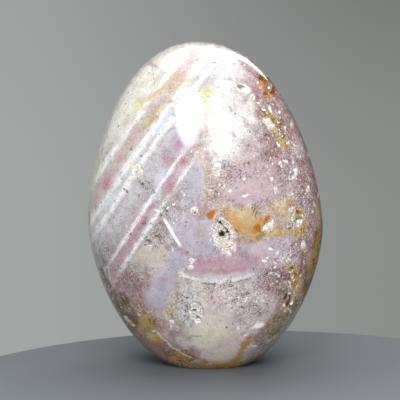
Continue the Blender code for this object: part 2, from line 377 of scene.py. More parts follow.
def new_material(name):
    """A material with an empty tree, its shader, and the surface place in millimetres."""
    material = bpy.data.materials.new(name)
    material.use_nodes = True
    tree = material.node_tree
    shader = tree.nodes["Principled BSDF"]
    start = Flow(tree).node("ShaderNodeTexCoord", output=3)
    return material, tree, shader, start.vector("SCALE", scale=1000.0)


# how deep a mark on the face goes into the stone, and a glint, in millimetres
MARK_DEPTH, GLINT_DEPTH = 9.0, 2.2
# the marks of a drawn line are this much longer than its pieces, so that they run together
STROKE_OVERLAP = 1.25


def marks_share(place, marks, depth=MARK_DEPTH):
    """0 in the middle of the nearest oval mark, 1 on its edge and 2 from far away. A mark is
    across, level, half its width, half its height, and how far its top leans to the left."""
    group = bpy.data.node_groups.new("marks", "ShaderNodeTree")
    group.interface.new_socket("Place", in_out="INPUT", socket_type="NodeSocketVector")
    group.interface.new_socket("Nearness", in_out="OUTPUT", socket_type="NodeSocketFloat")
    inner = Flow(group).node("NodeGroupInput")
    nearness = None
    for across, level, half_across, half_up, *lean in marks:
        off = inner.node("ShaderNodeMapping", {"vector_type": "TEXTURE"}, {
            "Vector": inner,
            "Location": skin_over(across / 1000, level / 1000) * 1000,
            "Rotation": (0, -math.radians(sum(lean)), 0),
            "Scale": (2 * half_across, 2 * depth, 2 * half_up),
        })
        here = off.node("ShaderNodeTexGradient", {"gradient_type": "SPHERICAL"}, {0: off}, 1)
        nearness = nearness.most(here) if nearness else here
    nearness.node("NodeGroupOutput", None, {0: nearness}, None)
    return 2 - 2 * place.node("ShaderNodeGroup", {"node_tree": group}, {0: place})


def laid_over(colour, place, layers, depth=MARK_DEPTH):
    """A colour with layers of oval marks over it. A layer is its tint, how strong it is and how
    soft its edge is, and then its marks."""
    for tint, strength, soft, *marks in layers:
        share = marks_share(place, marks, depth)
        colour = colour.mix(tint, share.rise(1 + soft, max(1 - soft, 0), strength))
    return colour


def stroke(points, half_width):
    """A drawn line as long thin marks from point to point."""
    marks = []
    for (x0, z0), (x1, z1) in zip(points, points[1:]):
        half = math.hypot(x1 - x0, z1 - z0) / 2 * STROKE_OVERLAP
        lean = math.degrees(math.atan2(x0 - x1, z1 - z0))
        marks.append(((x0 + x1) / 2, (z0 + z1) / 2, half_width, half, lean))
    return marks


def feed(tree, node, sockets):
    """Link values to a node's sockets by name."""
    for name, value in sockets.items():
        tree.links.new(value.socket, node.inputs[name])


# Tints of this stone, as the light that each gives back
MAUVE_GREY = (0.46, 0.39, 0.40)
MAUVE = (0.44, 0.31, 0.31)
DEEP_MAUVE = (0.25, 0.14, 0.17)
PINK_BEIGE = (0.55, 0.46, 0.43)
PINK = (0.53, 0.36, 0.42)
ROSE = (0.48, 0.24, 0.30)
PALE_PINK = (0.69, 0.60, 0.61)
LAVENDER = (0.49, 0.45, 0.52)
PALE_LILAC = (0.62, 0.57, 0.62)
BLUE_WHITE = (0.62, 0.64, 0.70)
GREY = (0.27, 0.27, 0.26)
WHITE = (0.76, 0.74, 0.75)
CREAM = (0.77, 0.74, 0.62)
GREEN_CREAM = (0.58, 0.57, 0.36)
BEIGE = (0.62, 0.57, 0.52)
TAN = (0.52, 0.37, 0.24)
YELLOW_OCHRE = (0.57, 0.44, 0.18)
OCHRE = (0.57, 0.37, 0.10)
ORANGE = (0.56, 0.27, 0.02)
OLIVE = (0.33, 0.27, 0.11)
BROWN = (0.21, 0.12, 0.05)
DARK_RED = (0.17, 0.055, 0.035)
NEAR_BLACK = (0.06, 0.05, 0.045)

jasper, jasper_tree, jasper_shader, place = new_material("polished ocean jasper")

# the stone grew unevenly, so every edge wanders: zones by a few millimetres, small marks a little
slow = place.noise(0.10, 2.0, output=1).vector("SUBTRACT", (0.5, 0.5, 0.5))
middle = place.noise(0.33, 3.0, output=1).vector("SUBTRACT", (0.5, 0.5, 0.5))
quick = place.noise(1.3, 2.0, output=1).vector("SUBTRACT", (0.5, 0.5, 0.5))
close = place.vector("ADD", middle.vector("SCALE", scale=1.5))
close = close.vector("ADD", quick.vector("SCALE", scale=0.9))
loose = close.vector("ADD", slow.vector("SCALE", scale=9.0))
loose = loose.vector("ADD", middle.vector("SCALE", scale=4.0))

# ground colour: mauve-grey clouded with beige and pink all round the stone
clouds = loose.noise(0.055, 3.0)
colour = place.node("ShaderNodeValToRGB", {
    "stops": [(0.0, MAUVE_GREY), (0.55, (0.49, 0.42, 0.43)), (1.0, PINK_BEIGE)],
}, {0: place.noise(0.16, 3.0).rise(0.38, 0.64)})
colour = colour.mix(MAUVE, clouds.rise(0.55, 0.68, 0.65))
colour = colour.mix(LAVENDER, clouds.rise(0.44, 0.34, 0.75))

# the sides and the back: ochre and cream clouds, with rust where iron stained them most
depth_in = place.vector("DOT_PRODUCT", (0, 1, 0))
behind = depth_in.rise(-9.0, 3.0)
stain = loose.vector("ADD", (31.0, 7.0, 12.0)).noise(0.05, 4.0, 0.55)
pale = loose.vector("ADD", (-14.0, 22.0, 5.0)).noise(0.045, 3.0)
colour = colour.mix(CREAM, pale.rise(0.54, 0.64, 0.7) * behind)
colour = colour.mix(YELLOW_OCHRE, stain.rise(0.54, 0.62, 0.75) * behind)
colour = colour.mix(ORANGE, stain.rise(0.615, 0.66, 0.7) * behind)
colour = colour.mix(BROWN, stain.rise(0.40, 0.33, 0.6) * behind)

# the face's ground: large soft zones
colour = laid_over(colour, loose, [
    (MAUVE, 0.90, 0.6, (36, 62, 12, 30), (27, 84, 8, 14, 20), (34, 40, 6, 14), (22, 76, 7, 9)),
    (PINK_BEIGE, 0.8, 0.6, (5, 66, 5, 9), (-22, 62, 4, 6)),
    ((0.57, 0.48, 0.51), 0.9, 0.6, (16, 66, 9, 9, 10), (20, 59, 6, 4)),
    ((0.54, 0.48, 0.50), 0.8, 0.6, (12, 97, 8, 9), (15, 84, 5, 9)),
    (LAVENDER, 0.85, 0.5, (-3, 48, 9, 9), (-6, 62, 5, 9, -20), (-10, 77, 4, 7, -34)),
    ((0.60, 0.52, 0.57), 0.9, 0.5, (17, 44.2, 8, 2.6), (25, 41, 7, 6)),
    (PALE_PINK, 0.95, 0.6, (10, 27, 15, 8), (3, 22, 12, 8), (14, 17, 8, 10), (12, 10, 6, 6),
     (-4, 9, 6, 5)),
    (BEIGE, 0.75, 0.6, (-20, 41, 7, 7, -34), (-8, 24, 8, 7), (-5, 29, 6, 5), (-33, 42, 3, 4, -30)),
    (MAUVE, 0.75, 0.5, (-26, 32, 8, 6, -30), (-6, 9.5, 4, 2.4), (24, 33, 5, 4), (20, 11, 4, 2.6, -60)),
    ((0.74, 0.70, 0.61), 0.90, 0.5, (1.5, 15.5, 7.5, 6.5), (5, 6, 6, 5)),
    # white on the crown and the upper face: partly the stone's own white, partly painted highlight where
    # the polish mirrors the lights
    (WHITE, 0.8, 0.6, (6.5, 87, 6, 11), (-3, 105, 12, 7), (-6, 90, 6, 8), (5, 77, 5, 4), (10, 84, 4, 5),
     (3, 96, 10, 6), (14, 88, 4, 4)),
])

# bands of clear white, pink and grey-lilac chalcedony, laid down in one direction and then cut
# across by the polish: they run up to the right over the left half of the face and on behind
band_across, band_depth, band_level = (
    close.vector("DOT_PRODUCT", axis) for axis in ((1, 0, 0), (0, 1, 0), (0, 0, 1))
)
# how far the bands lean, also as its sine and cosine, and the level that they lean about
BAND_LEAN = math.radians(34)
LEAN_SINE, LEAN_COSINE = 0.559, 0.829
BAND_PIVOT = 50
# where the first band starts, and how far all of them reach
BANDS_START, BANDS_REACH = -50, 36
along = LEAN_SINE * band_across + LEAN_COSINE * (band_level - BAND_PIVOT)
band = LEAN_COSINE * band_across - LEAN_SINE * (band_level - BAND_PIVOT) + 0.039 * band_depth
band = band - 0.0011 * along * along + 0.012 * along
band = band + 0.010 * band_depth.most(0.0) * band_depth.most(0.0)
# the bands' tints from the upper left to the right, each with its distance across the bands
BANDS = [
    (-50.0, (0.66, 0.64, 0.58)), (-46.0, (0.62, 0.60, 0.55)), (-43.6, (0.67, 0.65, 0.61)),
    (-42.6, (0.66, 0.64, 0.60)), (-41.4, (0.55, 0.52, 0.50)), (-40.6, (0.56, 0.53, 0.51)),
    (-39.5, WHITE), (-38.9, WHITE), (-38.0, (0.54, 0.50, 0.49)), (-37.0, (0.50, 0.44, 0.42)),
    (-35.4, (0.51, 0.44, 0.43)), (-34.4, (0.56, 0.53, 0.52)), (-33.4, WHITE), (-32.8, WHITE),
    (-31.9, (0.57, 0.56, 0.57)), (-31.0, (0.56, 0.55, 0.57)), (-30.2, WHITE), (-29.7, WHITE),
    (-28.7, (0.51, 0.49, 0.51)), (-26.6, (0.55, 0.53, 0.55)), (-25.0, (0.50, 0.47, 0.49)),
    (-22.3, (0.46, 0.41, 0.43)), (-21.5, WHITE), (-21.2, WHITE), (-20.5, (0.46, 0.40, 0.43)),
    (-18.0, (0.48, 0.42, 0.45)), (-17.2, WHITE), (-16.9, WHITE), (-16.2, (0.47, 0.45, 0.47)),
]
# each band is drawn out in thin streaks along its own length
streaks = place.node("ShaderNodeMapping", {"vector_type": "TEXTURE"}, {
    "Vector": place, "Rotation": (0, BAND_LEAN, 0), "Scale": (0.9, 3.0, 7.0),
}).noise(1.0, 3.0, 0.6)
bands = band.node("ShaderNodeValToRGB", {
    "stops": [((start - BANDS_START) / BANDS_REACH, tint) for start, tint in BANDS],
}, {0: (band + (streaks - 0.5) * 1.3 - BANDS_START) * (1 / BANDS_REACH)})
bands = bands.mix((0.46, 0.42, 0.44), streaks.rise(0.50, 0.34, 0.35))
right_lines_end = band.rise(-27.0, -24.5) * along.rise(13.0, 21.0)
banded = band.rise(-15.2, -16.2) * along.rise(-36.0, -28.0) * (1 - 0.9 * behind)
banded = banded * (1 - right_lines_end)
behind_bands = behind * place.noise(0.06, 2.0).rise(0.45, 0.58) * band.rise(-14.6, -16.6)
colour = colour.mix(bands, banded.most(0.8 * behind_bands) * band.rise(-52.0, -46.0))
colour = laid_over(colour, loose, [
    ((0.66, 0.64, 0.59), 0.75, 0.5, (-22, 96, 9, 8, -40), (-28, 84, 4, 8, -20)),
])
# blue-lilac ground above the two right lines, where they fade out
colour = laid_over(colour, close, [((0.52, 0.49, 0.55), 0.6, 0.6, (-9, 79, 4, 3.6, -34))])

# ochre streaks and clouds in the pale top left
colour = laid_over(colour, close, [
    (YELLOW_OCHRE, 0.55, 0.7,
     *stroke([(-20, 91), (-16.6, 93.2), (-13.2, 96), (-10, 99), (-7.8, 100.3)], 0.75),
     *stroke([(-11.8, 94.4), (-8.6, 96.6), (-6.6, 98.3), (-3.4, 97.9)], 0.6)),
    (TAN, 0.55, 0.6, (-15.6, 94.2, 0.6, 2.3, -48), (-11.5, 91.4, 1.5, 0.75), (-9, 95.9, 0.5, 1.6, -52),
     (-16.2, 88.3, 0.8, 1.5, -40), (-17.2, 85.4, 1, 2.6, -50)),
    (ORANGE, 0.5, 0.8, (-11.4, 91.3, 1.1, 0.4)),
    (GREEN_CREAM, 0.75, 0.5, (-22, 89.6, 1.6, 2.2, -30), (-20.2, 84.2, 0.8, 2.4, -60),
     (-14.4, 88.6, 0.6, 1.8, -45), (-36.6, 68, 1.3, 3.6, -12), (-38, 62, 1, 3.6, -8),
     (0.6, 93.2, 3, 2.6, 10), (1.9, 89.2, 1.4, 3.2, 6)),
    (OLIVE, 0.35, 0.7, (1.8, 88.6, 0.6, 1.7, -16), (3.3, 91.2, 0.25, 2.4, -24)),
])

# pink and brown-pink patches that follow the bands
colour = laid_over(colour, close, [
    (PINK, 0.62, 0.6, (-32.4, 64.2, 1.5, 3.6, -24), (-36, 57.2, 1, 2.6, -28),
     (-23.6, 81.2, 0.8, 1.1, -30), (-11.3, 64.8, 1.5, 3.4, -28), (-9.3, 69.6, 0.9, 2.2, -30),
     (-21.2, 51.3, 1.2, 3.4, -36), (-12.4, 72.2, 1.8, 2.2, -34), (0.5, 101.8, 0.8, 1.7, -45),
     (-27.8, 72.6, 0.8, 1.6, -34), (-27.6, 40.2, 1.1, 2.4, -36), (-28.6, 33.6, 0.9, 2.4, -34),
     (-38.8, 44.4, 0.9, 2, -20)),
    (ROSE, 0.62, 0.7, (-24.2, 46.3, 0.9, 1.9, -34), (-11, 63.6, 0.9, 1.7, -30),
     (-32.8, 63.6, 0.7, 1.8, -24), (-20.3, 52.3, 0.7, 1.3, -30), (-6.9, 72.4, 1.4, 1.1, -30),
     (-8.6, 77.6, 0.9, 1.7, -20), (-18.9, 103.2, 1.7, 0.7, -40), (-17.2, 58, 0.8, 1.5, -36)),
    ((0.30, 0.22, 0.30), 0.40, 0.7, (-8.3, 79, 2.4, 3, -10), (-17, 102.2, 1.8, 0.8, -30),
     (-4.3, 75.4, 0.8, 1.6, -30), (-12.6, 74.6, 1.8, 1.8, -30)),
    (BLUE_WHITE, 0.62, 0.6, (-14.8, 66.8, 1.5, 3.8, -26), (-15.8, 61.6, 1.3, 2.4, -30),
     (-31.4, 58.4, 1.4, 3.6, -32), (-13.2, 84.6, 1.6, 3.2, -36), (-36.4, 47.6, 0.9, 3.4, -26)),
])

# the lavender drop and the lobe, each with a pale rim
colour = laid_over(colour, close, [
    ((0.47, 0.45, 0.50), 0.85, 0.3, (-3, 66.4, 2.3, 5.6, 2)),
    ((0.57, 0.55, 0.59), 0.6, 0.6,
     *stroke([(-2.9, 72.2), (-1.5, 70.4), (-0.7, 67.6), (-0.7, 64.4), (-1.1, 61.2)], 0.32)),
    (TAN, 0.42, 0.7, (0.6, 62.4, 0.9, 5, 4), (-0.6, 57.2, 1.4, 1.8)),
    ((0.50, 0.46, 0.54), 0.88, 0.28, (-9.8, 39.6, 3, 3.6, -30), (-13.4, 33.6, 3.7, 4.4, -34),
     (-16.4, 27.4, 4.2, 3.6, -20)),
    (PALE_LILAC, 0.5, 0.7, (-14.8, 36.2, 0.9, 3.2, -40), (-17.8, 29, 1.2, 2.6, -24)),
    (PINK, 0.5, 0.7, (-13.6, 33.6, 1, 2, -30), (-16.6, 22.4, 3.4, 1.1, -4)),
])

# the pink band low on the face, with its white line and a grey seam under it
colour = laid_over(colour, close, [
    (PINK, 0.62, 0.7, (5.2, 38.2, 9.6, 2, 1), (11, 37.6, 5, 1.6, 4), (8, 39.4, 12, 2.6, 4)),
    (ROSE, 0.42, 0.7, (6.2, 37, 3.4, 0.9), (12.2, 37.2, 2.2, 0.8, 4), (-2.4, 39.6, 1, 0.9),
     (-4.4, 37.4, 0.6, 0.5), (-7.5, 43.8, 0.5, 1.5, 8), (8.6, 45.1, 1.1, 0.9), (2.1, 48.6, 0.5, 1.2),
     (0.6, 39.9, 2.6, 0.6)),
])
line_level = 33.6 + 0.016 * (band_across - 4) * (band_across - 4)
over_line = band_level - line_level
beside = band_across.rise(-9.4, -7.8) * band_across.rise(20.0, 11.0)
colour = colour.mix(PALE_LILAC, over_line.rise(-0.1, 0.3) * over_line.rise(3.0, 1.0) * beside * 0.72)
line_width = place.noise(0.5, 2.0).rise(0.3, 0.7, 0.45) + 0.2
colour = colour.mix(WHITE, abs(over_line).rise(0.85, 0.25) * beside * (line_width + 0.45))
seam = abs(over_line + 0.95).rise(0.40, 0.10) * beside * place.noise(0.4, 2.0).rise(0.40, 0.54)
colour = colour.mix(GREY, seam * 0.9)
colour = laid_over(colour, close, [
    ((0.69, 0.67, 0.68), 0.75, 0.7, (-4.6, 31.2, 3.4, 2.2, 20), (-5.2, 28.2, 2.6, 3.6),
     (-8, 35.4, 0.6, 1.6, -28), (-6.5, 22, 2.6, 4)),
])

# ochre and orange stains round the middle hollow and over to the right edge
colour = laid_over(colour, close, [
    ((0.62, 0.50, 0.33), 0.85, 0.5, (11.6, 55.6, 7, 2.4, 2), (25, 57.6, 4.6, 2.2, 12)),
    (OCHRE, 0.66, 0.6, (8.6, 53, 2.2, 4.2, 32), (12.4, 50.6, 4.6, 3.6, 20), (19, 52.2, 2.6, 2.2),
     (15, 48.8, 5, 1.8)),
    ((0.54, 0.30, 0.05), 0.42, 0.7, (7.6, 54, 1.3, 3.6, 32), (9.6, 51.8, 1.8, 2.8, 30),
     (17.6, 52, 1.6, 2.2), (17, 49.6, 2.2, 1.2)),
    (YELLOW_OCHRE, 0.80, 0.6, (24, 49.2, 5, 1.5), (31.2, 48.8, 3.2, 2.2, 20), (29, 53.6, 2.2, 3),
     (32.2, 52.4, 1.6, 2.2)),
    ((0.60, 0.50, 0.36), 0.6, 0.6, (26, 54.4, 6, 2.2, 10)),
    (ORANGE, 0.9, 0.5, (17, 51.2, 1, 1.2), (19.8, 53.4, 0.8, 1.4, -34), (16.2, 49.9, 1.5, 0.7),
     (30.6, 54.6, 0.8, 0.7)),
    ((0.45, 0.19, 0.01), 0.9, 0.5, (1.7, 55.4, 1.1, 1.5, -36), (3, 56.5, 0.9, 0.7), (17, 50.6, 0.8, 0.9),
     (20.3, 53.8, 0.5, 0.9, -34), (6.4, 54.8, 1, 1.8, 34), (9.6, 50, 0.7, 1.6, 30)),
    (YELLOW_OCHRE, 0.95, 0.6, (36.6, 43.6, 0.9, 3.4, -6), (36, 37.6, 0.8, 4, 2), (27.8, 37, 1.7, 1.4),
     (29.4, 32.6, 1.6, 3, 8), (28.8, 29.2, 1.8, 1.2), (32.8, 25.8, 1.8, 3.2, -20), (27.4, 17.8, 0.8, 0.7),
     (24, 29.5, 0.8, 0.8), (30, 31.6, 2.8, 5.6, 8), (35.4, 33, 1.2, 5, 10), (38.2, 47, 1.4, 5),
     (37.6, 42, 1.7, 6, 2), (35.8, 34, 1.6, 5, 10), (38.6, 54, 1, 4)),
    (OCHRE, 0.95, 0.6, (37.8, 44, 1.3, 5, -2), (37, 38, 1.2, 4, 4), (35.4, 36, 0.8, 4, 8),
     (29.6, 32, 1.8, 3.6, 8), (31.8, 26.4, 1.4, 2.6, -20)),
    (BROWN, 0.7, 0.6, (36.6, 45, 0.35, 3.2, -6), (36.4, 36.6, 0.3, 2.6, 6), (39.4, 44, 0.5, 5),
     (33.4, 30, 0.4, 2.4, 14)),
    (OLIVE, 0.8, 0.6, (24, 29.4, 0.7, 0.7), (31.4, 22.8, 2.2, 3, -30), (33.4, 28, 1, 2.4, -14),
     (24.6, 18.2, 3, 1.8, -20), (28, 36, 0.9, 0.7), (22, 14.8, 3, 1.6, -40), (28.6, 20.4, 2.4, 2.6, -30)),
    (BROWN, 0.8, 0.5, (29.4, 22.2, 1.4, 3.2, -30), (25.2, 23.6, 1, 3), (26.6, 28.4, 1.6, 0.8),
     (35.6, 27.6, 0.7, 3, -10), (27.6, 33.4, 0.5, 1.6, 10), (31.6, 34.8, 0.4, 2, -10),
     (28.6, 36.4, 0.5, 0.9)),
])

# gold streak, dark red corner and deeper mauve high on the right
colour = laid_over(colour, loose, [(MAUVE, 0.7, 0.6, (27, 82.5, 2.4, 4.6, 16), (22, 90, 5, 8, 26))])
colour = laid_over(colour, close, [
    (YELLOW_OCHRE, 0.95, 0.5,
     *stroke([(18.4, 86), (21.6, 85.4), (23.6, 82.4), (24.5, 79), (26.8, 76.4)], 1.7)),
    (OCHRE, 0.9, 0.6, (24.2, 81, 0.7, 3, 20), (22.4, 84.8, 0.8, 1.2, 30)),
    (BROWN, 0.75, 0.7, (22.6, 84.4, 0.5, 1.8, 36), (25.2, 80.4, 0.5, 2.2, 20),
     (22.8, 80.6, 0.3, 1.4, 20)),
    (MAUVE, 0.8, 0.5, (19, 95, 4.5, 5, 30)),
    (ORANGE, 0.95, 0.35, (20.4, 96, 2.6, 3, 30), (21.6, 93, 1.6, 1)),
    (DARK_RED, 0.9, 0.5, (22.5, 94.9, 1.2, 2.4, 30), (18.8, 98.6, 1.2, 0.8, 30),
     (20.6, 97.2, 1.4, 0.8, 30)),
])

# browner ground between the small pits high on the right, and round the middle hollow
colour = laid_over(colour, close, [
    ((0.36, 0.25, 0.20), 0.5, 0.6, (17.7, 88.1, 2.6, 2.6), (24.2, 81.7, 2.4, 3), (24, 30.2, 2.6, 3),
     (-18, 17.4, 3, 3)),
    ((0.55, 0.36, 0.16), 0.5, 0.6, (7.6, 53.4, 1.8, 3.6, 32)),
    ((0.42, 0.36, 0.34), 0.6, 0.7, (-1.6, 49.5, 2, 2.4), (11.8, 48, 3, 1.4), (-1.8, 55.9, 1.8, 2.4),
     (-9.5, 61.4, 2.4, 5, -30)),
    ((0.36, 0.26, 0.31), 0.5, 0.6, (-12.2, 63.7, 0.9, 2.6, -34), (-20.6, 52, 0.8, 3, -36)),
    ((0.68, 0.61, 0.60), 0.5, 0.7, (-8, 10.6, 2.6, 2.6), (31, 75.2, 2.4, 4), (11, 23.8, 4, 4),
     (17, 23.8, 3.6, 4)),
    ((0.44, 0.33, 0.38), 0.5, 0.7, (11, 43.4, 3, 2), (3, 42, 3, 1.6)),
    ((0.50, 0.36, 0.16), 0.5, 0.7, (17.4, 48.8, 3, 1.6)),
    ((0.26, 0.16, 0.12), 0.42, 0.7, (25.4, 82.2, 1.6, 3.6, 24), (18.4, 87.4, 2, 2.2),
     (24.2, 30, 2.4, 2.8)),
    ((0.34, 0.27, 0.28), 0.42, 0.7, (-21.5, 36.6, 2.8, 3.2, -20), (-24.6, 29.6, 2.4, 2.6)),
])

# brown lower left edge, with ochre, rust and wine below the bands
colour = laid_over(colour, loose, [
    ((0.37, 0.25, 0.10), 1.0, 0.4, (-24, 14, 7, 10, 26), (-16, 7, 8, 5, 30), (-10, 4, 8, 3, 20)),
    (MAUVE, 0.6, 0.6, (-14, 11, 3, 4, 30), (-18, 3.6, 5, 2)),
    (BROWN, 0.95, 0.45, (-29.5, 22.5, 5, 4.4, 26), (-24.6, 16, 2.4, 4, 30)),
])
colour = laid_over(colour, close, [
    (OLIVE, 0.8, 0.6, (-28.9, 24.9, 1.2, 1.5), (-26.4, 21.6, 1.4, 1.4), (-22.6, 12.6, 1.2, 2.2, 20)),
    (YELLOW_OCHRE, 0.85, 0.5, (-19.6, 18.4, 2.4, 2.6), (-16.6, 15.8, 2.4, 1.2), (-18, 11.9, 2.4, 2.6),
     (-21.6, 13.4, 1.2, 3, 12), (-11.6, 23, 1.8, 1), (-20.2, 8, 2, 1.6)),
    (GREEN_CREAM, 0.6, 0.6, (-16.2, 15.7, 1.2, 0.8), (-17.8, 12, 1, 1.2)),
    (OCHRE, 0.9, 0.6, (-19.2, 20.9, 1.2, 0.6), (-15.4, 11.4, 1.1, 1.6, 30), (-9.2, 4.4, 4, 1.2, 20),
     (-18.6, 17, 1.2, 1.2), (-16, 6.6, 2.6, 1, 30)),
    (ROSE, 0.5, 0.7, (-21.2, 11.2, 1.4, 0.8), (-14.8, 9.6, 1, 0.8)),
    (BROWN, 0.7, 0.5, (-18.4, 18.6, 1.1, 0.4, -70), (-16.8, 18.8, 1.2, 0.35, 70),
     (-39.4, 51.6, 0.7, 3.4, 4)),
    (DEEP_MAUVE, 0.85, 0.45, (-33.2, 30, 1.2, 2.9, 22), (-34.6, 33.4, 0.8, 1.8, 14)),
    (PALE_PINK, 0.8, 0.5, *stroke([(-32.4, 36.2), (-31.9, 33.2), (-31.6, 30)], 0.28),
     *stroke([(-29.7, 31.8), (-30.9, 29.4), (-31.9, 26.8)], 0.32)),
])

# olive low on the right, and the browns and mauve of the lower left edge once more
colour = laid_over(colour, loose, [(OLIVE, 0.6, 0.6, (27, 19, 4, 6, -30), (22, 13, 4, 3, -40))])
colour = laid_over(colour, close, [
    ((0.26, 0.18, 0.14), 0.6, 0.6, (-28.8, 25.4, 3.6, 4.2, 26), (-25.4, 20.6, 2.6, 3.4, 26)),
    ((0.34, 0.21, 0.11), 0.45, 0.7, (-21.4, 21.6, 2.2, 3.4, 20), (-16.4, 17, 3, 2.2)),
    ((0.41, 0.29, 0.31), 0.8, 0.5, (-20.8, 9.6, 2.6, 4.2, 34), (-16.4, 6.6, 3.4, 1.8, 34)),
])

# last, small parts of the ground are a little browner or paler than all this
colour = laid_over(colour, close, [
    ((0.44, 0.33, 0.21), 0.35, 0.7, (24.2, 81.8, 2.2, 3.6, 20), (17.8, 49.6, 3, 2.4)),
    ((0.47, 0.39, 0.29), 0.32, 0.7, (5.4, 56, 1.8, 2.6), (23.8, 30.4, 2.8, 2.6)),
    ((0.33, 0.23, 0.14), 0.3, 0.7, (-21, 22.4, 2.6, 3.6, 20), (-15, 17.2, 2.6, 2.6)),
    ((0.66, 0.60, 0.60), 0.4, 0.7, (-33.6, 43, 2, 3.4, 10), (25.4, 93.6, 1.6, 2.6, 30),
     (-8, 11, 2.6, 2.4)),
    ((0.50, 0.46, 0.47), 0.3, 0.8, (11, 94.4, 3.2, 2.6, 20), (5.4, 86.4, 1.6, 3.2, 10)),
    (GREEN_CREAM, 0.5, 0.5, (1.4, 91.4, 2.6, 3.4, -10)),
])

# the foot: cream with an orange and rust edge
colour = laid_over(colour, close, [
    (OCHRE, 0.9, 0.6, *stroke([(16, 13.2), (13.6, 11.2), (12.2, 7.8), (11.4, 4.6), (8.4, 2.2)], 1.2)),
])
foot_stain = band_level.rise(4.6, 1.4) * place.noise(0.2, 2.0).rise(0.34, 0.50)
colour = colour.mix(OCHRE, foot_stain * 0.95)
colour = colour.mix(ORANGE, band_level.rise(2.4, 0.6) * foot_stain * 0.7)

# fine growth: grey scribbled threads where quartz grains show, and clouds of light and dark.
# The lavender, the pale bands and the cream are clear and smooth
smooth = marks_share(close, [
    (-3, 66.4, 2.6, 6, 2), (-9.8, 39.6, 3, 3.6, -30), (-13.4, 33.6, 3.7, 4.4, -34),
    (-16.4, 27.4, 4.2, 3.6, -20), (-3, 49, 6, 6), (5, 38, 10, 3), (2, 14, 8, 9), (17, 44, 6, 2),
    (-9, 80, 4, 6, -30), (13, 53, 6, 4), (-19, 42, 5, 5, -34), (-19, 13, 5, 7, 20),
    (7, 5, 6, 4), (13, 63, 7, 4), (11, 71, 5, 3),
]).rise(1.4, 0.8).most(banded * 0.7)
rough_here = 1.0 - 0.65 * smooth
druzy = marks_share(loose, [
    (32, 64, 8, 24), (27, 36, 8, 9), (14, 27, 12, 4), (23, 84, 6, 9), (-19, 14, 5, 7),
]).rise(1.4, 0.5).most(behind * place.noise(0.07, 2.0).rise(0.47, 0.57))
rough_here = rough_here * (0.50 + 0.30 * druzy)
scribbled = marks_share(loose, [
    (-16.5, 48, 4, 4), (-12, 57, 3, 4, -30), (10, 70.5, 8, 5), (-20.6, 65, 2.2, 3.4), (20, 77, 3.4, 6),
    (6, 88.5, 3, 3), (16.4, 57, 2.4, 2.4), (-7, 24, 4, 7), (-25, 34, 5, 5), (3, 63, 3.4, 4),
    (20.6, 33, 6, 4), (16.2, 38.3, 1.4, 1.6), (-34, 40, 4, 5, -30), (6, 31, 8, 2.4), (15, 22, 4, 3),
]).rise(1.3, 0.5)
scribbled = scribbled.most(behind * place.noise(0.08, 2.0).rise(0.50, 0.60))
patchy = place.noise(0.34, 3.0, 0.6)
mottle = place.noise(0.8, 4.0, 0.65)
grain = place.noise(2.2, 3.0, 0.65)
colour = colour.mix((0.62, 0.52, 0.50), patchy.rise(0.52, 0.34, 0.50) * (1 - 0.7 * smooth), "MULTIPLY")
colour = colour.mix((0.30, 0.28, 0.31), patchy.rise(0.50, 0.68, 0.55) * (1 - 0.7 * smooth), "SCREEN")
colour = colour.mix((0.42, 0.36, 0.34), mottle.rise(0.48, 0.30, 0.75) * rough_here, "MULTIPLY")
colour = colour.mix((0.50, 0.47, 0.46), mottle.rise(0.52, 0.70, 0.85) * rough_here, "SCREEN")
colour = colour.mix((0.30, 0.25, 0.25), grain.rise(0.48, 0.30, 1.0) * rough_here, "MULTIPLY")
colour = colour.mix((0.75, 0.72, 0.70), grain.rise(0.54, 0.70, 1.0) * rough_here, "SCREEN")
for start, scale, width in (((5.0, 9.0, 1.0), 0.62, 0.036), ((1.0, 4.0, 12.0), 1.0, 0.040)):
    threads = abs(place.vector("ADD", start).noise(scale, 3.0, 0.6) - 0.5).rise(width, 0.008)
    threads = threads * mottle.rise(0.43, 0.54) * (scribbled * 0.85 + 0.10)
    colour = colour.mix((0.16, 0.16, 0.15), threads)

# quartz grains with painted glints where they caught the light, each ringed by a thin painted shadow, thick
# on the right and low on the face, rare elsewhere
FLECK_EDGE = 0.025
for start, scale, most_open in (((3.0, 1.0, 8.0), 0.45, 0.650), ((17.0, 5.0, 2.0), 0.95, 0.652)):
    flecks = place.vector("ADD", start).noise(scale, 4.0, 0.72)
    open_share = flecks + druzy * 0.05
    # a thin painted shadow round each grain
    glint_shadow = open_share.rise(most_open - FLECK_EDGE, most_open)
    colour = colour.mix((0.17, 0.12, 0.10), glint_shadow * (0.55 - 0.45 * smooth))
    # the grain's own white, with a painted glint on it
    white_quartz_and_glint = open_share.rise(most_open, most_open + FLECK_EDGE)
    colour = colour.mix((0.95, 0.92, 0.90), white_quartz_and_glint * (0.95 - 0.75 * smooth))
    shut_share = flecks - druzy * 0.03
    colour = colour.mix((0.13, 0.10, 0.09), shut_share.rise(0.36, 0.325) * 0.75)
